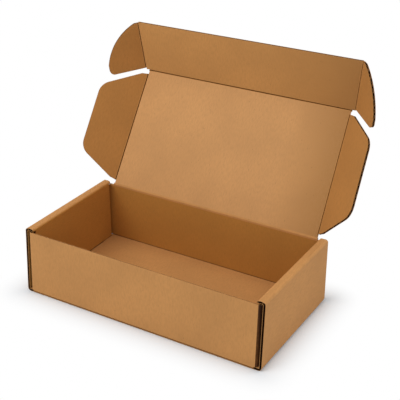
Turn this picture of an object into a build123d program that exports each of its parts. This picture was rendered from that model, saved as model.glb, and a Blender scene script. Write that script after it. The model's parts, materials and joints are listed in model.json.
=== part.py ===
from build123d import *
from math import cos, radians, sin, tan
import os

# Roll-end mailer box of plain corrugated board, standing open with its lid leaning back.
#
# One die-cut sheet makes the whole box.  Its tray is folded for good: the side panels roll over
# at the top, run down inside and lock into slots in the base, and trap the corner flaps of the
# front and back walls between their two layers.  The lid, its two wings, the tuck flap and the
# two ears of the tuck flap still move at their creases.
#
# Frame: X along the front, Y from the front wall to the back wall, Z up.  The origin is the
# middle of the base's underside.  All sizes are in millimetres.

os.makedirs("parts", exist_ok=True)

# ---- driving dimensions ----------------------------------------------------------------------

board = 3.0                 # thickness of the board
fold_round = 2.5            # outer radius of a set fold
base_round = 4.5            # the same where the side walls leave the base
corner_round = 2.0          # the same at the upright corners
roll_round = 3.0            # the same where the side walls roll over at the top

# tray, over its outer faces
length = 300.0
depth = 157.0
side_height = 78.0          # to the top of the rolled edge
front_height = 75.0
front_lean = 3.3            # front wall out of upright, leaning back, in degrees
hinge_height = 73.5         # crease between back wall and lid

# rolled side walls
side_wall = 10.25           # over both layers
outer_setback_low = 1.1     # front edge of an outer panel behind the front face, at the base
outer_setback_high = 6.4    # the same at the rolled top edge
roll_setback_front = 7.0    # front end of the rolled strip behind the front face
inner_setback_front = 7.0   # front end of the inner panel, the same at the base
roll_setback_rear = 5.0     # rear end of the rolled strip, in front of the rear face
inner_setback_rear = 7.5    # rear end of the inner panel, in front of the rear face
tab_length = 30.0           # locking tabs under the inner panels
tab_spacing = 76.0          # between the middles of the two tabs of a side
floor_gap = 0.3             # inner panel and corner flaps above the base
slot_clearance = 0.3        # between a tab and its slot, all round

# corner flaps, trapped in the side walls
flap_reach_front = 66.0     # from the front face
flap_reach_rear = 60.0      # from the rear face
flap_drop = 1.0             # top edge of a flap below the rolled strip's underside
flap_clearance = 0.65       # between a corner flap and the inner face of the outer panel
flap_taper = 12.0           # height lost at the free end of a corner flap
flap_splay = 2.95           # front flaps start this much further in, to clear the outer panels
splay_length = 5.0          # depth in which they reach their place between the layers

# creases that still move
crease_gap = 0.3            # from the crease line to the edge of each panel
crease_nose = 0.15          # half the thickness left at a creased edge

# lid
lid_setback = 10.0          # the lid is this much shorter than the tray is deep
lid_side_clearance = 3.75   # from a wing crease to the inner side panel at the hinge
lid_taper = 2.5             # lost on each side at the tuck crease
lid_tilt = 57.0             # above level, leaning back

# tuck flap
tuck_length = 60.0
tuck_side_clearance = 1.5   # from an ear crease to the inner side panel at the tuck crease
tuck_flare = 7.25           # gained on each side at the free edge
tuck_fold = 38.0            # forward, out of the plane of the lid

# wings, one on each side of the lid
wing_width = 52.0
wing_slot = 5.5             # from both ends of a wing's root to the hinge and tuck creases
wing_root = 8.0             # straight part of the root before the slant
wing_low = 30.5             # lower outer corner, from the hinge crease
wing_high = 35.5            # upper outer corner, from the tuck crease
wing_corner = 18.0
wing_fold = 39.0

# ears, one at each end of the tuck flap
ear_width = 45.0
ear_foot = 2.5              # lower edge above the tuck crease
ear_shoulder = 14.0         # height where the round outer edge starts
ear_top = 59.5
ear_brow = 5.0              # straight top of an ear beside its crease
ear_fullness = 0.69         # share of the width and height that the round edge passes through
ear_corner = 6.0
ear_fold = 45.0

# ---- worked-out places -----------------------------------------------------------------------

half_board = board / 2
front_mid = -depth / 2 + half_board             # middle of the front wall's board
back_mid = depth / 2 - half_board               # middle of the back wall's board
outer_mid = length / 2 - half_board             # middle of an outer side panel
inner_mid = length / 2 - side_wall + half_board  # middle of an inner side panel
roll_mid = side_height - half_board             # middle of the rolled strip
flap_mid = length / 2 - board - flap_clearance - half_board   # middle of a corner flap
# half the length of the folds under the front and back walls
wall_end = flap_mid + half_board - splay_length
roll_front = -depth / 2 + roll_setback_front
roll_rear = depth / 2 - roll_setback_rear
inner_front = -depth / 2 + inner_setback_front
lean_rate = tan(radians(front_lean))
inner_rear = depth / 2 - inner_setback_rear
flap_top = side_height - board - flap_drop
crease_taper = half_board - crease_nose
lid_depth = depth - lid_setback                 # hinge crease to tuck crease
lid_width_rear = length - 2 * side_wall - 2 * lid_side_clearance
lid_width_front = lid_width_rear - 2 * lid_taper
tuck_width_crease = length - 2 * side_wall - 2 * tuck_side_clearance
tuck_width_free = tuck_width_crease + 2 * tuck_flare
beyond = 20.0               # how far a cutting block runs past the board


def folded_plane(parent, start, end, fold):
    """Plane of a flap creased to parent from start to end: x leaves the crease, y runs along it."""
    foot = parent.from_local_coords(Vector(*start))
    tip = parent.from_local_coords(Vector(*end))
    along = (tip - foot).normalized()
    level = along.cross(parent.z_dir)
    away = level * cos(radians(fold)) + parent.z_dir * sin(radians(fold))
    return Plane(origin=foot, x_dir=away, z_dir=away.cross(along))


def tilted_plane(origin, tilt):
    """Plane across the box that leans back at tilt above level, facing the inside of the lid."""
    return Plane(origin=origin, x_dir=(1, 0, 0), z_dir=(0, -sin(radians(tilt)), cos(radians(tilt))))


def crease_edges(part, plane, side):
    """The two long edges of the face of part that lies furthest along side of plane."""
    direction = {"-x": -plane.x_dir, "-y": -plane.y_dir}[side]
    along = plane.y_dir if side == "-x" else plane.x_dir
    face = part.faces().sort_by(Axis(plane.origin, direction))[-1]
    return face.edges().filter_by(Axis(plane.origin, along))


front_plane = tilted_plane((0, front_mid, half_board), -front_lean)
lid_plane = tilted_plane((0, back_mid, hinge_height), lid_tilt)
tuck_plane = tilted_plane(lid_plane.from_local_coords((0, lid_depth, 0)), lid_tilt + tuck_fold)
wing_plane = folded_plane(
    lid_plane, (lid_width_rear / 2, 0, 0), (lid_width_front / 2, lid_depth, 0), wing_fold
)
ear_plane = folded_plane(
    tuck_plane, (tuck_width_crease / 2, 0, 0), (tuck_width_free / 2, tuck_length, 0), ear_fold
)

# ---- tray ------------------------------------------------------------------------------------

with BuildPart() as side_walls:
    # outer panels, rolled strips and inner panels in one section, with the base between them
    with BuildSketch(Plane.XZ.offset(-roll_rear)) as wall_section:
        with BuildLine():
            Polyline(
                (-inner_mid, board + floor_gap),
                (-inner_mid, roll_mid),
                (-outer_mid, roll_mid),
                (-outer_mid, half_board),
                (outer_mid, half_board),
                (outer_mid, roll_mid),
                (inner_mid, roll_mid),
                (inner_mid, board + floor_gap),
            )
        trace(line_width=board)
        fillet(wall_section.vertices().sort_by(Axis.Y)[:2], radius=base_round)
        fillet(wall_section.vertices().sort_by(Axis.Y)[-4:], radius=roll_round)
    extrude(amount=roll_rear + depth / 2 - outer_setback_low)

    # the front edges of the outer panels lean back
    with BuildSketch(Plane.YZ):
        with BuildLine():
            Polyline(
                (-depth / 2 + outer_setback_low, 0),
                (-depth / 2 + outer_setback_high, side_height),
                (-depth / 2 - beyond, side_height),
                (-depth / 2 - beyond, 0),
                close=True,
            )
        make_face()
    extrude(amount=length, both=True, mode=Mode.SUBTRACT)

    # between the outer panels, the rolled strips end square in front, and the inner panels end
    # on a slant behind the leaning front wall
    with BuildSketch(Plane.YZ):
        with BuildLine():
            Polyline(
                (-depth / 2 - beyond, board),
                (inner_front + lean_rate * board, board),
                (inner_front + lean_rate * (side_height - board), side_height - board),
                (roll_front, side_height - board),
                (roll_front, side_height + beyond),
                (-depth / 2 - beyond, side_height + beyond),
                close=True,
            )
        make_face()
    extrude(amount=flap_mid + half_board, both=True, mode=Mode.SUBTRACT)

    # the inner panels stop short of the back wall
    with BuildSketch(Plane.XY.offset(board)):
        with Locations((0, inner_rear)):
            Rectangle(2 * flap_mid + board, beyond, align=(Align.CENTER, Align.MIN))
    extrude(amount=side_height - 2 * board, mode=Mode.SUBTRACT)

    # the base goes on to the back wall, under the corner flaps
    with BuildSketch():
        with Locations((0, roll_rear)):
            Rectangle(
                length - 2 * base_round,
                depth / 2 - board - roll_rear,
                align=(Align.CENTER, Align.MIN),
            )
    extrude(amount=board)

with BuildPart() as front_flaps:
    # upright corner folds and corner flaps of the leaning front wall, just clear of the base
    for side in (-1, 1):
        with BuildSketch(front_plane) as front_flap:
            with BuildLine():
                Polyline(
                    (side * (wall_end - board), 0),
                    (side * (flap_mid - flap_splay), 0),
                    (side * flap_mid, splay_length),
                    (side * flap_mid, flap_reach_front - half_board),
                )
            trace(line_width=board)
            outer_corner = front_flap.vertices().sort_by(Axis((0, 0, 0), (side, -1, 0)))[-1]
            fillet(outer_corner, radius=corner_round)
        extrude(amount=(front_height - half_board) / cos(radians(front_lean)))
    with BuildSketch(Plane.XY.offset(board + floor_gap)):
        Rectangle(length, 2 * depth)
    extrude(amount=-beyond, mode=Mode.SUBTRACT)

with BuildPart() as tray:
    # base, front wall and back wall: one strip with two folds
    with BuildSketch(Plane.YZ) as strip_section:
        with BuildLine():
            Polyline(
                (front_mid + lean_rate * (front_height - half_board), front_height),
                (front_mid, half_board),
                (back_mid, half_board),
                (back_mid, hinge_height - crease_gap),
            )
        trace(line_width=board)
        fillet(strip_section.vertices().sort_by(Axis.Y)[:2], radius=fold_round)
    extrude(amount=wall_end, both=True)

    # crease along the top of the back wall
    hinge_edge = tray.faces().filter_by(Axis.Z).sort_by(Axis.Y)[-1]
    chamfer(hinge_edge.edges().filter_by(Axis.X), length=crease_taper)

    # corner flaps of the back wall
    for side in (-1, 1):
        with BuildSketch(Plane.XY.offset(board + floor_gap)) as rear_flap:
            with BuildLine():
                Polyline(
                    (side * (wall_end - board), back_mid),
                    (side * flap_mid, back_mid),
                    (side * flap_mid, depth / 2 - flap_reach_rear),
                )
            trace(line_width=board)
            outer_corner = rear_flap.vertices().sort_by(Axis((0, 0, 0), (side, 1, 0)))[-1]
            fillet(outer_corner, radius=corner_round)
        extrude(amount=flap_top - 2 * flap_drop - board - floor_gap)
    add(front_flaps.part)

    # the corner flaps narrow towards their free ends, below the rolled strips
    with BuildSketch(Plane.YZ):
        with BuildLine():
            Polyline(
                (roll_front - flap_drop, flap_top),
                (-depth / 2 + flap_reach_front, flap_top - flap_taper),
                (depth / 2 - flap_reach_rear, flap_top - flap_taper),
                (back_mid - board, flap_top - 2 * flap_drop),
                (back_mid - board, flap_top + front_height),
                (roll_front - flap_drop, flap_top + front_height),
                close=True,
            )
        make_face()
    extrude(amount=length, both=True, mode=Mode.SUBTRACT)

    add(side_walls.part)

    # locking tabs of the inner panels, each in its slot in the base
    tab_places = [
        (side * inner_mid, end * tab_spacing / 2) for side in (-1, 1) for end in (-1, 1)
    ]
    with BuildSketch():
        with Locations(*tab_places):
            Rectangle(board + 2 * slot_clearance, tab_length + 2 * slot_clearance)
    extrude(amount=board, mode=Mode.SUBTRACT)
    with BuildSketch(Plane.XY.offset(slot_clearance)):
        with Locations(*tab_places):
            Rectangle(board, tab_length)
    extrude(amount=board + floor_gap)

tray.part.label = "tray"
export_step(tray.part, "parts/tray.step")

# ---- lid -------------------------------------------------------------------------------------

with BuildPart() as lid_panel:
    with BuildSketch(lid_plane):
        with BuildLine():
            Polyline(
                (-lid_width_rear / 2 + crease_gap, crease_gap),
                (lid_width_rear / 2 - crease_gap, crease_gap),
                (lid_width_front / 2 - crease_gap, lid_depth - crease_gap),
                (-lid_width_front / 2 + crease_gap, lid_depth - crease_gap),
                close=True,
            )
        make_face()
    extrude(amount=half_board, both=True)
    # all four sides are creased
    lid_faces = lid_panel.faces().sort_by(Axis(lid_plane.origin, lid_plane.z_dir))
    chamfer(lid_faces[0].edges() + lid_faces[-1].edges(), length=crease_taper)

lid_panel.part.label = "lid_panel"
export_step(lid_panel.part, "parts/lid_panel.step")

with BuildPart() as tuck_flap:
    with BuildSketch(tuck_plane):
        with BuildLine():
            Polyline(
                (-tuck_width_crease / 2 + crease_gap, crease_gap),
                (tuck_width_crease / 2 - crease_gap, crease_gap),
                (tuck_width_free / 2 - crease_gap, tuck_length),
                (-tuck_width_free / 2 + crease_gap, tuck_length),
                close=True,
            )
        make_face()
    extrude(amount=half_board, both=True)
    # three sides are creased, the fourth is the free edge
    free_edge = tuck_flap.faces().sort_by(Axis(tuck_plane.origin, tuck_plane.y_dir))[-1]
    tuck_faces = tuck_flap.faces().sort_by(Axis(tuck_plane.origin, tuck_plane.z_dir))
    tuck_rims = tuck_faces[0].edges() + tuck_faces[-1].edges()
    chamfer(tuck_rims - free_edge.edges(), length=crease_taper)

tuck_flap.part.label = "tuck_flap"
export_step(tuck_flap.part, "parts/tuck_flap.step")

with BuildPart() as right_wing:
    with BuildSketch(wing_plane) as wing_outline:
        with BuildLine():
            Polyline(
                (crease_gap, wing_slot),
                (wing_root, wing_slot + half_board),
                (wing_width, wing_low),
                (wing_width, lid_depth - wing_high),
                (wing_root, lid_depth - wing_slot - half_board),
                (crease_gap, lid_depth - wing_slot),
                close=True,
            )
        make_face()
        fillet(wing_outline.vertices().sort_by(Axis.X)[-2:], radius=wing_corner)
    extrude(amount=half_board, both=True)
    chamfer(crease_edges(right_wing, wing_plane, "-x"), length=crease_taper)

with BuildPart() as left_wing:
    mirror(right_wing.part, about=Plane.YZ)

right_wing.part.label = "right_wing"
export_step(right_wing.part, "parts/right_wing.step")
left_wing.part.label = "left_wing"
export_step(left_wing.part, "parts/left_wing.step")

with BuildPart() as right_ear:
    with BuildSketch(ear_plane) as ear_outline:
        with BuildLine():
            Line((crease_gap, ear_foot), (crease_gap, ear_top))
            Line((crease_gap, ear_top), (ear_brow, ear_top))
            ThreePointArc(
                (ear_brow, ear_top),
                (ear_fullness * ear_width, ear_fullness * ear_top),
                (ear_width, ear_shoulder),
            )
            Line((ear_width, ear_shoulder), (ear_width, ear_foot))
            Line((ear_width, ear_foot), (crease_gap, ear_foot))
        make_face()
        foot_corner = ear_outline.vertices().sort_by(Axis((0, 0, 0), (1, -1, 0)))[-1]
        fillet(foot_corner, radius=ear_corner)
    extrude(amount=half_board, both=True)
    chamfer(crease_edges(right_ear, ear_plane, "-x"), length=crease_taper)

with BuildPart() as left_ear:
    mirror(right_ear.part, about=Plane.YZ)

right_ear.part.label = "right_ear"
export_step(right_ear.part, "parts/right_ear.step")
left_ear.part.label = "left_ear"
export_step(left_ear.part, "parts/left_ear.step")
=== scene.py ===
"""Open mailer box of corrugated board: liners, fluting and creases, on a studio floor."""

import json
from math import ceil, cos, pi, radians, sin

import bpy
from bpy.props import FloatProperty, FloatVectorProperty, PointerProperty
from mathutils import Matrix, Vector
from mathutils.bvhtree import BVHTree

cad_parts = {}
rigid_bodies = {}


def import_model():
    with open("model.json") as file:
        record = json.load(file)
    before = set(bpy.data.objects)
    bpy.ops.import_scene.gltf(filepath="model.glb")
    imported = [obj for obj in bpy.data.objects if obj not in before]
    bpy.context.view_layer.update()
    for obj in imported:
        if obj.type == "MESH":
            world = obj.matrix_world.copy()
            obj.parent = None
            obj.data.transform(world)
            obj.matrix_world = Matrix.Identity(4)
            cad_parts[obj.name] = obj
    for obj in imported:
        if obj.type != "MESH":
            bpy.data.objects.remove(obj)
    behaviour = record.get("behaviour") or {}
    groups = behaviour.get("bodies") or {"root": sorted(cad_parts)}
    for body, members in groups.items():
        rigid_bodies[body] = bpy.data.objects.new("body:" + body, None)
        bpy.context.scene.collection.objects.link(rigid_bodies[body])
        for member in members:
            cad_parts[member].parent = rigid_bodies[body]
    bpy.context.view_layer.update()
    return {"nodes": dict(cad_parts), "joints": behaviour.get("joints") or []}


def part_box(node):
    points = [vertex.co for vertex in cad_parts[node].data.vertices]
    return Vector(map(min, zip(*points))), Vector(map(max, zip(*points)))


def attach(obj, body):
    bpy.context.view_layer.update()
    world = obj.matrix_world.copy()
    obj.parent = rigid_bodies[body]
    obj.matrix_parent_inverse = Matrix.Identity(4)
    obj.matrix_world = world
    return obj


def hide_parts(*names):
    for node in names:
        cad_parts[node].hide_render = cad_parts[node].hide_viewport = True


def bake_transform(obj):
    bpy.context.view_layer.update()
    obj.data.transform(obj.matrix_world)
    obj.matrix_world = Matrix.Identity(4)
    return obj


bl_info = {
    "name": "Corrugated Mailer Box",
    "version": (1, 0, 0),
    "blender": (4, 5, 0),
    "location": "View3D > Sidebar > Mailer Box",
    "description": "Builds the liners, fluting and creases of an open mailer box",
    "category": "Add Mesh",
}

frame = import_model()

MM = 0.001
X = Vector((1, 0, 0))
Y = Vector((0, 1, 0))
Z = Vector((0, 0, 1))

# board and folds of the part
BOARD = 3 * MM                  # thickness of the board
HALF = BOARD / 2
CREASE_REACH = 1.65 * MM        # from a moving crease to where the full board begins

# middle of the board in each wall of the tray
OUTER_X = 148.5 * MM
INNER_X = 141.25 * MM
FLAP_X = 144.85 * MM
WALL_Y = 77 * MM
ROLL_Z = 76.5 * MM
FRONT_TOP = 76 * MM             # top of the fluted sheets of the front and back walls
BACK_TOP = 73.5 * MM
FRONT_FLAP_Y = -10 * MM         # a little past the free ends of the corner flaps
REAR_FLAP_Y = 16 * MM
FLAP_SPLAY = 2.95 * MM          # front flaps start this much further in
SPLAY_Y = -72 * MM              # and reach their place here
FRONT_LEAN = radians(3.3)       # front wall out of upright, leaning back
BASE_FOLD = 3 * MM              # radius of the board's middle where the side walls leave the base

# stretches of each moving crease, from its joint and along it
HINGE_SPAN = (-136 * MM, 136 * MM)
TUCK_SPAN = (-133.5 * MM, 133.5 * MM)
WING_SPAN = (5.5 * MM, 141.5 * MM)
EAR_SPAN = (2.5 * MM, 59.5 * MM)

# finishes with painted shade that changes along an axis: the lid and the tuck flap painted darker
# towards their right end, the inner walls painted dark at their foot, the slots painted less dark
# towards their open front. Columns: the axis, the two places and how much of the other colour is
# mixed in at each, and that colour
PAINTED_SHADE_RAMPS = {
    "kraft_lid": ("X", (66 * MM, 138 * MM, 0, 0.8), (0.37, 0.172, 0.044)),
    "kraft_tuck": ("X", (30 * MM, 140 * MM, 0, 0.75), (0.35, 0.157, 0.040)),
    "kraft_inside": ("Z", (BOARD, BOARD + 1.8 * MM, 1, 0), (0.10, 0.045, 0.009)),
    "kraft_slot": ("Y", (-77 * MM, -72.5 * MM, 0.55, 0), (0.45, 0.16, 0.020)),
}

FLUTE_STEPS = 8                 # faces along one wave
FOLD_STEPS = 6                  # faces round one fold
CREASE_LIP = 1.15 * MM          # from a crease to the lip of the groove on its inner side
CREASE_DEPTH = 0.3 * MM         # from the crease line to the bottom of that groove
CORE_REACH = 0.3 * CREASE_REACH  # from a crease to the edge of its crushed core

NEAR = 0.01 * MM                # points this close together count as one
MERGE_REACH = 0.000005          # the same in a copy of a node
MERGE_ANGLE = radians(0.5)      # faces of that copy that meet at less than this become one
SMOOTH_ANGLE = radians(40)      # edges flatter than this are shaded round
FLAT = 0.995                    # cosine above which a face lies flat on a side of the board
LINER_GAP = (0.7 * BOARD, 1.5 * BOARD)  # how far apart the two skins of a board may be
SKIN_STEP = 0.02 * MM           # how far under a skin the search for the other one starts
FLOOR_SHADE = -0.7                   # painted shade on the folds next to the floor
INNER_FACE = INNER_X - 1.1 * HALF  # faces further out than this belong to a side wall
ALONG = 0.5                     # part of a normal past which it counts as along an axis
SLOT_SLACK = 0.1 * MM           # how far into the outer layer a face still counts as in the slot

# noises over the paper: their scale, their detail and how much of it runs along each axis
CLOUDS = (16, 4)
FIBRES = (650, 4, (1, 0.3, 1))
FLECKS = (520, 2, (1, 0.5, 1))
RUBS = (90, 5)
GRAIN = (800, 4, (1, 0.4, 1))
INNER_FIBRES = (800, 4)
INNER_GRAIN = (700, 4)

FOOTPRINT = (150 * MM, 78 * MM, 0)  # half the length and depth of the base
FLOOR_FADE = 0.042              # the floor is plain white this far from the box
FLOOR_SIZE = 30                 # length of a side of the floor
LAMP_SIZE = 1.0                 # length of a side of each lamp
LAMP_AIM = Vector((0, 0, 80 * MM))
KEY_PLACE = (-0.8, -0.96, 1.57)
FILL_PLACE = (1.13, 1.13, 1.2)
TOP_PLACE = (0, -0.03, 2.03)
SENSOR_WIDTH = 36               # millimetres

JOINTS = {joint["name"]: joint for joint in frame["joints"]}
INSIDE = Vector((0, -0.4, 0.35))  # a point in front of every panel's inner face


# ---- settings --------------------------------------------------------------------------------


class BoardSettings(bpy.types.PropertyGroup):
    """Layers of the corrugated board."""

    liner: FloatProperty(
        name="Liner", description="Thickness of each liner", default=0.00035, unit="LENGTH"
    )
    medium: FloatProperty(
        name="Medium", description="Thickness of the fluted sheet", default=0.00025, unit="LENGTH"
    )
    pitch: FloatProperty(
        name="Flute Pitch", description="From one flute to the next", default=0.0064, unit="LENGTH"
    )


class KraftSettings(bpy.types.PropertyGroup):
    """Colours of the unprinted kraft paper, with painted light and shade: the paler lid, the
    deeper flaps, the inner walls, the slots, the creases and the core.
    """

    liner_color: FloatVectorProperty(
        name="Liner", description="Main colour of the liners", subtype="COLOR",
        size=3, min=0, max=1, default=(0.57, 0.27, 0.085),
    )
    # painted light: the lid is the same paper as the liners, painted paler where the lamps fall on
    # it most
    lid_color: FloatVectorProperty(
        name="Lid", description="Colour of the lid, a little paler", subtype="COLOR",
        size=3, min=0, max=1, default=(0.635, 0.32, 0.118),
    )
    tuck_color: FloatVectorProperty(
        name="Tuck Flap", description="Colour of the tuck flap", subtype="COLOR",
        size=3, min=0, max=1, default=(0.575, 0.27, 0.078),
    )
    # painted shade: the wings and ears, the same paper, painted deeper where they turn away from
    # the lamps
    flap_color: FloatVectorProperty(
        name="Flaps", description="Colour of the wings and ears, a little deeper",
        subtype="COLOR", size=3, min=0, max=1, default=(0.475, 0.205, 0.048),
    )
    # painted shade: the walls on the inside of the tray, the same paper, painted a deeper brown
    inside_color: FloatVectorProperty(
        name="Inside", description="Colour of the walls on the inside of the tray",
        subtype="COLOR", size=3, min=0, max=1, default=(0.515, 0.232, 0.045),
    )
    # painted shade: nearly black deep between the two layers of a side wall
    slot_color: FloatVectorProperty(
        name="Slots", description="Colour deep between the two layers of a side wall",
        subtype="COLOR", size=3, min=0, max=1, default=(0.035, 0.010, 0.0008),
    )
    # dark paper in a crease: partly crushed paper, partly painted shade in the groove; also the
    # painted shade on the folds next to the floor
    crease_color: FloatVectorProperty(
        name="Creases", description="Colour of the paper pressed down in a crease",
        subtype="COLOR", size=3, min=0, max=1, default=(0.25, 0.10, 0.012),
    )
    fleck_color: FloatVectorProperty(
        name="Flecks", description="Colour of the dark fibres in the liners", subtype="COLOR",
        size=3, min=0, max=1, default=(0.26, 0.125, 0.045),
    )
    medium_color: FloatVectorProperty(
        name="Fluting", description="Colour of the fluted sheet between the liners",
        subtype="COLOR", size=3, min=0, max=1, default=(0.24, 0.115, 0.045),
    )
    # painted shade: the glued side of the liners, painted nearly black as the shade in the hollows
    # of the flutes
    core_color: FloatVectorProperty(
        name="Core", description="Colour of the glued side of the liners",
        subtype="COLOR", size=3, min=0, max=1, default=(0.05, 0.018, 0.005),
    )


class StageSettings(bpy.types.PropertyGroup):
    """Floor, lamps and camera."""

    floor_color: FloatVectorProperty(
        name="Floor", description="Colour of the floor", subtype="COLOR",
        size=3, min=0, max=1, default=(0.86, 0.89, 0.92),
    )
    key_power: FloatProperty(
        name="Key", description="Power of the main soft lamp", default=10.0, unit="POWER"
    )
    fill_power: FloatProperty(
        name="Fill", description="Power of the lamp at the back right", default=5.3, unit="POWER"
    )
    top_power: FloatProperty(
        name="Top", description="Power of the lamp overhead", default=4.6, unit="POWER"
    )
    sky_strength: FloatProperty(
        name="Sky", description="Strength of the even light all round", default=0.62
    )
    camera_aim: FloatVectorProperty(
        name="Aim", description="Point in the middle of the picture", subtype="TRANSLATION",
        size=3, default=(0.0325, 0.0, 0.1281),
    )
    camera_azimuth: FloatProperty(
        name="Azimuth", description="Camera to the right of the front", subtype="ANGLE",
        default=radians(31.07),
    )
    camera_elevation: FloatProperty(
        name="Elevation", description="Camera above the horizon", subtype="ANGLE",
        default=radians(26.69),
    )
    camera_roll: FloatProperty(
        name="Roll", description="Camera tilted about its own axis", subtype="ANGLE",
        default=radians(-0.15),
    )
    camera_distance: FloatProperty(
        name="Distance", description="Camera to its aim point", default=1.0003, unit="LENGTH"
    )
    camera_lens: FloatProperty(
        name="Lens", description="Focal length in millimetres", default=85.36
    )


# ---- working with objects --------------------------------------------------------------------


def pick(*objects):
    """Leave only these objects selected, and make the last of them active."""
    bpy.ops.object.select_all(action="DESELECT")
    for item in objects:
        item.select_set(True)
        bpy.context.view_layer.objects.active = item
    return objects[-1]


def edit_vertices(piece, test):
    """Go into edit mode on piece with only the vertices that pass test selected."""
    if piece.mode == "EDIT":
        bpy.ops.object.mode_set(mode="OBJECT")
    pick(piece)
    bpy.ops.object.mode_set(mode="EDIT")
    bpy.ops.mesh.select_mode(type="VERT")
    bpy.ops.mesh.select_all(action="DESELECT")
    bpy.ops.object.mode_set(mode="OBJECT")
    for vertex in piece.data.vertices:
        vertex.select = test(vertex.co)
    bpy.ops.object.mode_set(mode="EDIT")


def apply_modifier(piece, kind, **settings):
    """Put a modifier with these settings on piece and apply it."""
    pick(piece)
    modifier = piece.modifiers.new(kind.title(), kind)
    for key, value in settings.items():
        setattr(modifier, key, value)
    bpy.ops.object.modifier_apply(modifier=modifier.name)


def lay(piece, matrix):
    """Move piece by matrix and apply that to its mesh."""
    pick(piece)
    piece.matrix_world = matrix
    bpy.ops.object.transform_apply(location=True, rotation=True, scale=True)


def smooth(piece):
    """Round the shading of folds and waves, and keep it level on the flat faces beside them."""
    pick(piece)
    bpy.ops.object.shade_smooth_by_angle(angle=SMOOTH_ANGLE)
    apply_modifier(piece, "WEIGHTED_NORMAL", keep_sharp=True, weight=100)


def joined(name, *objects):
    """Join the objects into the last of them, under this name."""
    piece = pick(*objects)
    bpy.ops.object.join()
    piece.name = piece.data.name = name
    return piece


def cad_copy(node, name):
    """A copy of a frame node, on no body, with its loose triangles merged into whole faces."""
    pick(frame["nodes"][node])
    bpy.ops.object.duplicate()
    piece = bpy.context.active_object
    piece.name = piece.data.name = name
    piece.parent = None
    for key in list(piece.keys()):
        del piece[key]
    piece.data.materials.clear()
    bpy.ops.object.mode_set(mode="EDIT")
    bpy.ops.mesh.select_mode(type="FACE")
    bpy.ops.mesh.select_all(action="SELECT")
    bpy.ops.mesh.remove_doubles(threshold=MERGE_REACH)
    bpy.ops.mesh.dissolve_limited(angle_limit=MERGE_ANGLE)
    bpy.ops.mesh.select_all(action="DESELECT")
    bpy.ops.object.mode_set(mode="OBJECT")
    return piece


# ---- materials -------------------------------------------------------------------------------


def shaded(color, factor):
    """The same colour, lighter or darker."""
    return [min(1.0, part * factor) for part in color]


class Finish:
    """A node material under construction."""

    # colour sockets of a mix node, which also has sockets of the same names for other types
    MIX_FIRST, MIX_SECOND, MIX_RESULT = 6, 7, 2

    def __init__(self, name):
        self.material = bpy.data.materials.new(name)
        self.material.use_nodes = True
        self.nodes = self.material.node_tree.nodes
        self.links = self.material.node_tree.links
        self.nodes.clear()
        self.shader = self.nodes.new("ShaderNodeBsdfPrincipled")
        output = self.nodes.new("ShaderNodeOutputMaterial")
        self.links.new(self.shader.outputs["BSDF"], output.inputs["Surface"])

    def attribute(self, name, output):
        """Read a value that the mesh carries."""
        node = self.nodes.new("ShaderNodeAttribute")
        node.attribute_name = name
        return node.outputs[output]

    def noise(self, place, scale, detail, stretch=(1, 1, 1)):
        """Noise over place, drawn out along the axes that stretch holds back."""
        mapping = self.nodes.new("ShaderNodeMapping")
        mapping.inputs["Scale"].default_value = stretch
        texture = self.nodes.new("ShaderNodeTexNoise")
        texture.inputs["Scale"].default_value = scale
        texture.inputs["Detail"].default_value = detail
        self.links.new(place, mapping.inputs["Vector"])
        self.links.new(mapping.outputs["Vector"], texture.inputs["Vector"])
        return texture.outputs["Fac"]

    def ramp(self, source, low, high, start=0.0, end=1.0):
        """A value that goes from start to end while source goes from low to high."""
        node = self.nodes.new("ShaderNodeMapRange")
        for socket, value in zip(node.inputs[1:5], (low, high, start, end)):
            socket.default_value = value
        self.links.new(source, node.inputs["Value"])
        return node.outputs["Result"]

    def product(self, first, second):
        """Two values multiplied."""
        node = self.nodes.new("ShaderNodeMath")
        node.operation = "MULTIPLY"
        self.links.new(first, node.inputs[0])
        self.links.new(second, node.inputs[1])
        return node.outputs["Value"]

    def mix(self, factor, first, second):
        """Two colours mixed.  first may come from another node."""
        node = self.nodes.new("ShaderNodeMix")
        node.data_type = "RGBA"
        self.links.new(factor, node.inputs["Factor"])
        if isinstance(first, bpy.types.NodeSocket):
            self.links.new(first, node.inputs[self.MIX_FIRST])
        else:
            node.inputs[self.MIX_FIRST].default_value = (*first, 1)
        node.inputs[self.MIX_SECOND].default_value = (*second, 1)
        return node.outputs[self.MIX_RESULT]

    def bump(self, height, strength, distance, under=None):
        """Raise the surface by height, on top of another bump if there is one."""
        node = self.nodes.new("ShaderNodeBump")
        node.inputs["Strength"].default_value = strength
        node.inputs["Distance"].default_value = distance
        self.links.new(height, node.inputs["Height"])
        if under:
            self.links.new(under, node.inputs["Normal"])
        return node.outputs["Normal"]


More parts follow.
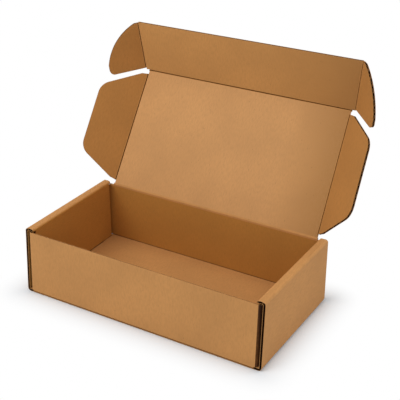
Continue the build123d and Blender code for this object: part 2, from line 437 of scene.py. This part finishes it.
def liner_finish(name, base):
    """Kraft liner: cloudy pulp, fibres across the flutes, a few dark flecks, light worn folds,
    painted shade along an axis for some finishes, and painted dark creases and folds next to the
    floor.
    """
    kraft = bpy.context.scene.kraft_settings
    pitch = bpy.context.scene.board_settings.pitch
    finish = Finish(name)
    sheet = finish.attribute("sheet", "Vector")
    clouds = finish.ramp(finish.noise(sheet, *CLOUDS), 0.35, 0.65)
    color = finish.mix(clouds, shaded(base, 0.94), shaded(base, 1.05))
    # painted shade along an axis, from the table of painted shade ramps
    if name in PAINTED_SHADE_RAMPS:
        axis, stretch, shade_ramp_color = PAINTED_SHADE_RAMPS[name]
        place = finish.nodes.new("ShaderNodeTexCoord").outputs["Object"]
        along = finish.nodes.new("ShaderNodeSeparateXYZ")
        finish.links.new(place, along.inputs["Vector"])
        shade_ramp = finish.ramp(along.outputs[axis], *stretch)
        color = finish.mix(shade_ramp, color, shade_ramp_color)
    fibres = finish.ramp(finish.noise(sheet, *FIBRES), 0.4, 0.75, 0, 0.5)
    color = finish.mix(fibres, color, shaded(base, 0.78))
    flecks = finish.ramp(finish.noise(sheet, *FLECKS), 0.70, 0.76, 0, 0.4)
    color = finish.mix(flecks, color, list(kraft.fleck_color))
    rubbed = finish.ramp(finish.noise(sheet, *RUBS), 0.38, 0.62, 0.15, 0.8)
    worn = finish.product(finish.attribute("fold", "Fac"), rubbed)
    color = finish.mix(worn, color, shaded(base, 1.1))
    # painted dark where fold is below 0: crushed paper and painted shade in the creases, painted
    # shade next to the floor
    pressed_and_shaded = finish.ramp(finish.attribute("fold", "Fac"), 0, -1)
    color = finish.mix(pressed_and_shaded, color, list(kraft.crease_color))
    finish.links.new(color, finish.shader.inputs["Base Color"])
    finish.shader.inputs["Roughness"].default_value = 0.78
    finish.shader.inputs["Specular IOR Level"].default_value = 0.3

    waves = finish.nodes.new("ShaderNodeTexWave")
    waves.bands_direction = "Y"
    waves.inputs["Scale"].default_value = pi / (10 * pitch)
    waves.inputs["Distortion"].default_value = 0.0
    finish.links.new(sheet, waves.inputs["Vector"])
    washboard = finish.bump(waves.outputs["Fac"], 0.05, 0.00012)
    grain = finish.noise(sheet, *GRAIN)
    surface = finish.bump(grain, 0.3, 0.0001, washboard)
    finish.links.new(surface, finish.shader.inputs["Normal"])
    return finish.material


def inner_finish(name, base):
    """Paper inside the board, darker and rougher than the liners; the core is nearly black as
    painted shade in the flutes.
    """
    finish = Finish(name)
    place = finish.nodes.new("ShaderNodeTexCoord").outputs["Object"]
    fibres = finish.ramp(finish.noise(place, *INNER_FIBRES), 0.3, 0.7)
    color = finish.mix(fibres, shaded(base, 0.8), shaded(base, 1.2))
    finish.links.new(color, finish.shader.inputs["Base Color"])
    finish.shader.inputs["Roughness"].default_value = 0.95
    finish.shader.inputs["Specular IOR Level"].default_value = 0.1
    surface = finish.bump(finish.noise(place, *INNER_GRAIN), 0.4, 0.0001)
    finish.links.new(surface, finish.shader.inputs["Normal"])
    return finish.material


def paint(piece, role, test=None):
    """Give piece the finish of its role, made from the colour setting of the same name.

    With a test, the finish is added, and only the faces of the first finish that pass are painted.
    """
    name = "kraft_" + role
    material = bpy.data.materials.get(name)
    if material is None:
        color = list(getattr(bpy.context.scene.kraft_settings, role + "_color"))
        finish = inner_finish if role in ("medium", "core") else liner_finish
        material = finish(name, color)
    if test is None:
        piece.data.materials.clear()
    piece.data.materials.append(material)
    for face in piece.data.polygons:
        if test is None or (face.material_index == 0 and test(face)):
            face.material_index = len(piece.data.materials) - 1


# ---- corrugated board ------------------------------------------------------------------------


def mark_sheet(piece, unroll, wear_and_shade):
    """Store where each point lies on the flat sheet, and how its face is rubbed or painted dark.

    A face is rubbed light at 1, plain at 0 and painted dark towards -1: crushed paper and painted
    shade in creases, painted shade on folds next to the floor.
    """
    mesh = piece.data
    mesh.attributes.new("sheet", "FLOAT_VECTOR", "CORNER")
    mesh.attributes.new("fold", "FLOAT", "CORNER")
    sheet, fold = mesh.attributes["sheet"], mesh.attributes["fold"]
    for face in mesh.polygons:
        for corner in face.loop_indices:
            point = mesh.vertices[mesh.loops[corner].vertex_index].co
            sheet.data[corner].vector = unroll(point, face.center)
            fold.data[corner].value = wear_and_shade(face)


def fold_wear_and_shade(height):
    """How the paper looks round a fold: painted shade next to the floor and rubbed light higher
    up.
    """
    if height < BOARD:
        return FLOOR_SHADE
    return 1 if height > 2 * BOARD else 0


def liners_of(node, unroll, flat_sides, role):
    """Both liners of a node: its skin without the cut edges, as thick as paper."""
    liner = bpy.context.scene.board_settings.liner
    skin = cad_copy(node, node + "_liners")
    mesh = skin.data
    mesh.calc_loop_triangles()
    tree = BVHTree.FromPolygons(
        [vertex.co for vertex in mesh.vertices],
        [triangle.vertices for triangle in mesh.loop_triangles],
    )
    starts = {}
    for triangle in sorted(mesh.loop_triangles, key=lambda triangle: triangle.area):
        # the largest triangle of a face comes last, and stays
        starts[triangle.polygon_index] = Vector(triangle.center)
    for face in mesh.polygons:
        depth = tree.ray_cast(starts[face.index] - face.normal * SKIN_STEP, -face.normal)[3]
        # the other skin is one board away, or a little more at a crease
        face.select = depth is None or not LINER_GAP[0] < depth < LINER_GAP[1]
    bpy.ops.object.mode_set(mode="EDIT")
    bpy.ops.mesh.delete(type="FACE")
    bpy.ops.object.mode_set(mode="OBJECT")
    # faces round a fold: painted shade next to the floor, rubbed light higher up
    mark_sheet(
        skin, unroll,
        lambda face: fold_wear_and_shade(face.center.z)
        * all(abs(face.normal.dot(side)) < FLAT for side in flat_sides),
    )
    # the core finish is on no face yet: the glued side that the thickness adds takes it, nearly
    # black as painted shade in the flutes
    paint(skin, role)
    paint(skin, "core", lambda face: False)
    apply_modifier(
        skin, "SOLIDIFY", thickness=liner, offset=-1, use_even_offset=True, material_offset=1
    )
    smooth(skin)
    return skin


def fluted_sheet(name, width, height):
    """Fluted sheet on the XY plane, its flutes along X, its waves repeated along Y."""
    board = bpy.context.scene.board_settings
    rise = HALF - board.liner - board.medium / 2
    bpy.ops.object.select_all(action="DESELECT")
    bpy.ops.mesh.primitive_grid_add(x_subdivisions=1, y_subdivisions=FLUTE_STEPS, size=1)
    sheet = bpy.context.active_object
    sheet.name = sheet.data.name = name
    bpy.ops.object.mode_set(mode="EDIT")
    bpy.ops.transform.resize(value=(width, board.pitch, 1))
    for step in range(1, FLUTE_STEPS):
        row = (step / FLUTE_STEPS - 0.5) * board.pitch
        edit_vertices(sheet, lambda co: abs(co.y - row) < NEAR)
        lift = rise * sin(2 * pi * step / FLUTE_STEPS)
        bpy.ops.transform.translate(value=(0, 0, lift))
    bpy.ops.object.mode_set(mode="OBJECT")
    waves = ceil(height / board.pitch)
    apply_modifier(
        sheet, "ARRAY", count=waves, use_relative_offset=False, use_constant_offset=True,
        constant_offset_displace=(0, board.pitch, 0), use_merge_vertices=True,
        merge_threshold=NEAR,
    )
    lay(sheet, Matrix.Translation(Y * board.pitch * (1 - waves) / 2))
    return sheet


def fold(angle, centre, axis):
    """Turn the selected rim of a sheet in edit mode round a fold."""
    bpy.ops.mesh.spin(steps=FOLD_STEPS, angle=angle, center=centre, axis=axis)


def trimmed(sheet, node):
    """Give a fluted sheet its thickness and cut it to the outline of a node."""
    if sheet.mode == "EDIT":
        bpy.ops.object.mode_set(mode="OBJECT")
    medium = bpy.context.scene.board_settings.medium
    apply_modifier(sheet, "SOLIDIFY", thickness=medium, offset=0)
    outline = cad_copy(node, node + "_outline")
    apply_modifier(sheet, "BOOLEAN", operation="INTERSECT", object=outline, solver="EXACT")
    bpy.data.objects.remove(outline)
    smooth(sheet)
    paint(sheet, "medium")
    return sheet


def place(piece, body, *nodes):
    """Put a finished piece of board on its body in place of its frame nodes."""
    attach(piece, body)
    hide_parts(*nodes)


def inner_normal(node):
    """Direction that the inner face of a flat node looks in."""
    mesh = frame["nodes"][node].data
    largest = max(mesh.polygons, key=lambda face: face.area)
    toward = INSIDE - largest.center
    return largest.normal * (1 if largest.normal.dot(toward) > 0 else -1)


def flat_board(node, body, flutes, role):
    """Corrugated board in the place of a flat node, with its flutes along the given direction."""
    low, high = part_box(node)
    normal = inner_normal(node)
    flutes = (flutes - normal * flutes.dot(normal)).normalized()
    across = normal.cross(flutes)
    turn = Matrix((flutes, across, normal)).transposed().to_4x4()
    matrix = Matrix.Translation((low + high) / 2) @ turn
    corners = [matrix.inverted() @ vertex.co for vertex in frame["nodes"][node].data.vertices]
    middle = sum((max(c.z for c in corners), min(c.z for c in corners))) / 2
    matrix = matrix @ Matrix.Translation((0, 0, middle))
    width = 2 * max(abs(c.x) for c in corners) + BOARD
    height = 2 * max(abs(c.y) for c in corners) + BOARD
    sheet = fluted_sheet(node + "_fluting", width, height)
    lay(sheet, matrix)
    back = matrix.inverted()
    liners = liners_of(node, lambda point, face: back @ point, [normal], role)
    piece = joined(node + "_board", trimmed(sheet, node), liners)
    place(piece, body, node)


# ---- creases ---------------------------------------------------------------------------------


class Crease:
    """Line where two panels meet, with the directions in which they leave it."""

    def __init__(self, joint, span, first_normal, first_away, second_normal):
        joint = JOINTS[joint]
        self.bodies = joint["parent"], joint["child"]
        pivot = Vector(joint["pos_m"])
        axis = Vector(joint["axis"]).normalized()
        self.axis = axis if axis.x + axis.z > 0 else -axis
        self.foot = pivot + self.axis * span[0]
        self.length = span[1] - span[0]
        self.normals = first_normal, second_normal
        second_away = self.axis.cross(second_normal)
        if second_away.dot(first_away) > 0:
            second_away = -second_away
        self.aways = first_away, second_away

    def strip(self, name, profile, thickness, outward, wear_and_shade=None):
        """Strip that follows profile across the crease, a list of offsets from its line.

        It is liner, rubbed light or painted dark (crushed paper and painted shade) as the given
        values say, or fluting if none are given.
        """
        bpy.ops.object.select_all(action="DESELECT")
        bpy.ops.mesh.primitive_plane_add(size=1, location=self.foot + profile[0])
        strip = bpy.context.active_object
        edit_vertices(strip, lambda co: co.y > 0)
        bpy.ops.mesh.delete(type="VERT")
        bpy.ops.object.mode_set(mode="OBJECT")
        ends = sorted(strip.data.vertices, key=lambda vertex: vertex.co.x)
        bpy.ops.object.transform_apply(location=True, rotation=True, scale=True)
        ends[0].co = self.foot + profile[0]
        ends[1].co = self.foot + profile[0] + self.axis * self.length
        edit_vertices(strip, lambda co: True)
        for before, after in zip(profile, profile[1:]):
            bpy.ops.mesh.extrude_region_move(TRANSFORM_OT_translate={"value": after - before})
        bpy.ops.object.mode_set(mode="OBJECT")
        if strip.data.polygons[0].normal.dot(outward) < 0:
            bpy.ops.object.mode_set(mode="EDIT")
            bpy.ops.mesh.select_all(action="SELECT")
            bpy.ops.mesh.flip_normals()
            bpy.ops.object.mode_set(mode="OBJECT")
        strip.name = strip.data.name = name
        if wear_and_shade:
            mark_sheet(strip, lambda point, face: Vector((point.x, point.z, point.y)), wear_and_shade)
        apply_modifier(strip, "SOLIDIFY", thickness=thickness, offset=-1 if wear_and_shade else 0)
        smooth(strip)
        paint(strip, "liner" if wear_and_shade else "medium")
        return strip

    def distance(self, point):
        """How far a point is from the crease line."""
        return (point - self.foot).cross(self.axis).length

    def profile_outside(self):
        """Across the stretched side: straight off each panel and round the crease line."""
        first, second = (-normal for normal in self.normals)
        points = [self.aways[0] * CREASE_REACH + first * HALF]
        for step in range(FOLD_STEPS + 1):
            points.append(first.slerp(second, step / FOLD_STEPS).normalized() * HALF)
        points.append(self.aways[1] * CREASE_REACH + second * HALF)
        return points

    def profile_inside(self):
        """Across the folded side: two lips and the groove between them."""
        first, second = self.normals
        middle = (first + second).normalized()
        return [
            self.aways[0] * CREASE_REACH + first * HALF,
            self.aways[0] * CREASE_LIP + first * HALF,
            middle * CREASE_DEPTH,
            self.aways[1] * CREASE_LIP + second * HALF,
            self.aways[1] * CREASE_REACH + second * HALF,
        ]

    def build(self, name):
        """Both liners of the crease and the crushed core, bending between the two panels."""
        board = bpy.context.scene.board_settings
        first, second = self.normals
        outside = self.strip(
            name + "_outside", self.profile_outside(), board.liner, -first, lambda face: 1
        )
        inside = self.strip(
            name + "_inside", self.profile_inside(), board.liner, first,
            # the groove of the crease is painted dark: crushed paper and painted shade
            lambda face: -1 if self.distance(face.center) < CREASE_LIP else 0,
        )
        core_path = [self.aways[0] * CORE_REACH, Vector(), self.aways[1] * CORE_REACH]
        core = self.strip(name + "_core", core_path, board.medium, first)
        piece = joined(name, core, outside, inside)
        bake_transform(piece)


# ---- operators -------------------------------------------------------------------------------


def unroll_tray(point, face):
    """Place of a point of a face of the tray on the flat sheet, flutes along the first axis."""
    if abs(face.y) > WALL_Y - 2 * BOARD and abs(face.x) < OUTER_X - HALF:
        return Vector((point.x, point.z, point.y))
    if abs(face.x) > INNER_FACE:
        return Vector((point.z, point.y, point.x))
    return Vector(point)


def looks_inward(face):
    """True for an upright face of the tray that looks towards its middle."""
    return abs(face.normal.z) < ALONG and face.normal.xy.dot(face.center.xy) < 0


def lies_in_slot(face):
    """True for an upright face of the tray between the two layers of a side wall."""
    between = INNER_X - HALF < abs(face.center.x) < OUTER_X - HALF + SLOT_SLACK
    outward = face.normal.x * face.center.x > 0
    return abs(face.normal.x) > ALONG and between and (outward or abs(face.center.x) > INNER_X)


class MAILER_OT_tray(bpy.types.Operator):
    """Build the tray: base, front and back walls, rolled side walls and corner flaps"""

    bl_idname = "mailer.tray"
    bl_label = "Tray"

    def base_and_sides(self):
        """One fluted sheet across the base that rolls over at the top of both side walls."""
        flat = 2 * (OUTER_X - BASE_FOLD)
        sheet = fluted_sheet("base_fluting", flat, 2 * WALL_Y)
        lay(sheet, Matrix.Translation(Z * HALF))
        low, high = HALF + BASE_FOLD, ROLL_Z - HALF
        for side in (-1, 1):
            edit_vertices(sheet, lambda co: side * co.x > flat / 2 - NEAR)
            for x, z, run in (
                (OUTER_X - BASE_FOLD, low, Z * (high - low)),
                (OUTER_X - HALF, high, -X * side * (OUTER_X - INNER_X - BOARD)),
                (INNER_X + HALF, high, -Z * high),
            ):
                fold(-side * pi / 2, (side * x, 0, z), Y)
                bpy.ops.mesh.extrude_region_move(TRANSFORM_OT_translate={"value": run})
        return trimmed(sheet, "tray")

    def wall(self, name, y, top, splay, lean, flap_end):
        """Fluted sheet of a wall that turns the upright corners into its two corner flaps."""
        start = FLAP_X - splay - HALF
        inward = -1 if y > 0 else 1
        sheet = fluted_sheet(name, 2 * start, top - BOARD)
        upright = Matrix((X, Z, -Y)).transposed().to_4x4()
        lay(sheet, Matrix.Translation((0, y, (top + BOARD) / 2)) @ upright)
        for side in (-1, 1):
            edit_vertices(sheet, lambda co: side * co.x > start - NEAR)
            fold(side * inward * pi / 2, (side * start, y + inward * HALF, 0), Z)
            reach = y + inward * HALF
            if splay:
                run = Vector((side * splay, SPLAY_Y - reach, 0))
                bpy.ops.mesh.extrude_region_move(TRANSFORM_OT_translate={"value": run})
                reach = SPLAY_Y
            run = Y * (flap_end - reach)
            bpy.ops.mesh.extrude_region_move(TRANSFORM_OT_translate={"value": run})
        bpy.ops.object.mode_set(mode="OBJECT")
        foot = Matrix.Translation((0, y, HALF))
        lay(sheet, foot @ Matrix.Rotation(-lean, 4, "X") @ foot.inverted())
        return trimmed(sheet, "tray")

    def execute(self, context):
        sheets = [
            self.base_and_sides(),
            self.wall("front_fluting", -WALL_Y, FRONT_TOP, FLAP_SPLAY, FRONT_LEAN, FRONT_FLAP_Y),
            self.wall("back_fluting", WALL_Y, BACK_TOP, 0, 0, REAR_FLAP_Y),
        ]
        liners = liners_of("tray", unroll_tray, [X, Y, Z], "liner")
        # painted shade: the upright faces inside the tray get the deeper brown
        paint(liners, "inside", looks_inward)
        # painted shade: the faces in the slots between the two layers of each side wall, nearly
        # black
        paint(liners, "slot", lies_in_slot)
        place(joined("tray_board", *sheets, liners), "tray", "tray")
        return {"FINISHED"}


class MAILER_OT_lid(bpy.types.Operator):
    """Build the lid and the tuck flap"""

    bl_idname = "mailer.lid"
    bl_label = "Lid and Tuck Flap"

    def execute(self, context):
        flat_board("lid_panel", "lid", X, "lid")
        flat_board("tuck_flap", "tuck", X, "tuck")
        return {"FINISHED"}


class MAILER_OT_wings(bpy.types.Operator):
    """Build the two wings of the lid and the two ears of the tuck flap"""

    bl_idname = "mailer.wings"
    bl_label = "Wings and Ears"

    def execute(self, context):
        for side in ("left", "right"):
            flat_board(side + "_wing", side + "_wing", X, "flap")
            flat_board(side + "_ear", side + "_ear", X, "flap")
        return {"FINISHED"}


class MAILER_OT_creases(bpy.types.Operator):
    """Build the six creases that still move"""

    bl_idname = "mailer.creases"
    bl_label = "Creases"

    def execute(self, context):
        lid, tuck = inner_normal("lid_panel"), inner_normal("tuck_flap")
        Crease("lid_hinge", HINGE_SPAN, Y, -Z, -lid).build("lid_hinge_crease")
        Crease("tuck_crease", TUCK_SPAN, lid, X.cross(lid), tuck).build("tuck_crease")
        for side, inward in (("left", X), ("right", -X)):
            for flap, panel, span in (("wing", lid, WING_SPAN), ("ear", tuck, EAR_SPAN)):
                axis = Vector(JOINTS[f"{side}_{flap}_crease"]["axis"]).normalized()
                away = (inward - axis * inward.dot(axis)).normalized()
                name = f"{side}_{flap}_crease"
                Crease(name, span, panel, away, inner_normal(f"{side}_{flap}")).build(name)
        return {"FINISHED"}


class MAILER_OT_stage(bpy.types.Operator):
    """Set up the floor, the lamps and the camera"""

    bl_idname = "mailer.stage"
    bl_label = "Stage"

    def floor(self, stage):
        """Pale floor that fades to white away from the box and keeps its shadow."""
        bpy.ops.object.select_all(action="DESELECT")
        bpy.ops.mesh.primitive_plane_add(size=FLOOR_SIZE)
        floor = bpy.context.active_object
        floor.name = "floor"
        finish = Finish("floor_paint")
        finish.shader.inputs["Base Color"].default_value = (*stage.floor_color, 1)
        finish.shader.inputs["Roughness"].default_value = 0.9
        finish.shader.inputs["Specular IOR Level"].default_value = 0.0
        white = finish.nodes.new("ShaderNodeEmission")
        rays = finish.nodes.new("ShaderNodeLightPath")
        blend = finish.nodes.new("ShaderNodeMixShader")
        outside = finish.nodes.new("ShaderNodeTexCoord").outputs["Object"]
        for operation, amount in (
            ("ABSOLUTE", None), ("SUBTRACT", FOOTPRINT), ("MAXIMUM", (0, 0, 0)), ("LENGTH", None)
        ):
            step = finish.nodes.new("ShaderNodeVectorMath")
            step.operation = operation
            finish.links.new(outside, step.inputs[0])
            if amount:
                step.inputs[1].default_value = amount
            outside = step.outputs["Value" if operation == "LENGTH" else "Vector"]
        near = finish.ramp(outside, 0.0, FLOOR_FADE, 1.0, 0.0)
        far = finish.ramp(finish.product(near, near), 0.0, 1.0, 1.0, 0.0)
        amount = finish.product(far, rays.outputs["Is Camera Ray"])
        finish.links.new(amount, blend.inputs["Fac"])
        finish.links.new(finish.shader.outputs["BSDF"], blend.inputs[1])
        finish.links.new(white.outputs["Emission"], blend.inputs[2])
        output = next(n for n in finish.nodes if n.type == "OUTPUT_MATERIAL")
        finish.links.new(blend.outputs["Shader"], output.inputs["Surface"])
        floor.data.materials.append(finish.material)

    def sky(self, stage):
        """Even light all round, seen as plain white."""
        world = bpy.data.worlds.new("studio")
        bpy.context.scene.world = world
        world.use_nodes = True
        nodes, links = world.node_tree.nodes, world.node_tree.links
        light = nodes["Background"]
        light.inputs["Strength"].default_value = stage.sky_strength
        light.inputs["Color"].default_value = (1, 1, 1, 1)
        seen = nodes.new("ShaderNodeBackground")
        seen.inputs["Color"].default_value = (1, 1, 1, 1)
        blend = nodes.new("ShaderNodeMixShader")
        rays = nodes.new("ShaderNodeLightPath")
        links.new(rays.outputs["Is Camera Ray"], blend.inputs["Fac"])
        links.new(light.outputs["Background"], blend.inputs[1])
        links.new(seen.outputs["Background"], blend.inputs[2])
        links.new(blend.outputs["Shader"], nodes["World Output"].inputs["Surface"])

    def lamp(self, name, power, location):
        """Square soft lamp that looks at the box."""
        aim = LAMP_AIM - Vector(location)
        rotation = aim.to_track_quat("-Z", "Y").to_euler()
        bpy.ops.object.light_add(type="AREA", location=location, rotation=rotation)
        lamp = bpy.context.active_object
        lamp.name = name
        lamp.data.energy = power
        lamp.data.size = LAMP_SIZE

    def camera(self, stage):
        """Camera at the front right, a little above."""
        azimuth, elevation = stage.camera_azimuth, stage.camera_elevation
        back = Vector(
            (sin(azimuth) * cos(elevation), -cos(azimuth) * cos(elevation), sin(elevation))
        )
        turn = back.to_track_quat("Z", "Y").to_matrix().to_4x4()
        location = Vector(stage.camera_aim) + back * stage.camera_distance
        bpy.ops.object.camera_add()
        camera = bpy.context.active_object
        camera.matrix_world = (
            Matrix.Translation(location) @ turn @ Matrix.Rotation(stage.camera_roll, 4, "Z")
        )
        camera.data.lens = stage.camera_lens
        camera.data.sensor_width = SENSOR_WIDTH
        bpy.context.scene.camera = camera

    def execute(self, context):
        stage = context.scene.stage_settings
        self.floor(stage)
        self.sky(stage)
        self.lamp("key_lamp", stage.key_power, KEY_PLACE)
        self.lamp("fill_lamp", stage.fill_power, FILL_PLACE)
        self.lamp("top_lamp", stage.top_power, TOP_PLACE)
        self.camera(stage)
        context.scene.view_settings.view_transform = "Standard"
        return {"FINISHED"}


class MAILER_PT_box(bpy.types.Panel):
    """Lists the steps that build the box"""

    bl_idname = "MAILER_PT_box"
    bl_label = "Mailer Box"
    bl_space_type = "VIEW_3D"
    bl_region_type = "UI"
    bl_category = "Mailer Box"

    def draw(self, context):
        for settings in ("board_settings", "kraft_settings", "stage_settings"):
            group = getattr(context.scene, settings)
            for name in group.__annotations__:
                self.layout.prop(group, name)
        for operator in OPERATORS:
            self.layout.operator(operator.bl_idname)


SETTINGS = {
    "board_settings": BoardSettings,
    "kraft_settings": KraftSettings,
    "stage_settings": StageSettings,
}
OPERATORS = (
    MAILER_OT_tray,
    MAILER_OT_lid,
    MAILER_OT_wings,
    MAILER_OT_creases,
    MAILER_OT_stage,
)


def register():
    for name, group in SETTINGS.items():
        bpy.utils.register_class(group)
        setattr(bpy.types.Scene, name, PointerProperty(type=group))
    for operator in OPERATORS:
        bpy.utils.register_class(operator)
    bpy.utils.register_class(MAILER_PT_box)


def unregister():
    bpy.utils.unregister_class(MAILER_PT_box)
    for operator in reversed(OPERATORS):
        bpy.utils.unregister_class(operator)
    for name, group in SETTINGS.items():
        delattr(bpy.types.Scene, name)
        bpy.utils.unregister_class(group)


def main():
    """Build everything."""
    register()
    bpy.ops.mailer.tray()
    bpy.ops.mailer.lid()
    bpy.ops.mailer.wings()
    bpy.ops.mailer.creases()
    bpy.ops.mailer.stage()


if __name__ == "__main__":
    main()
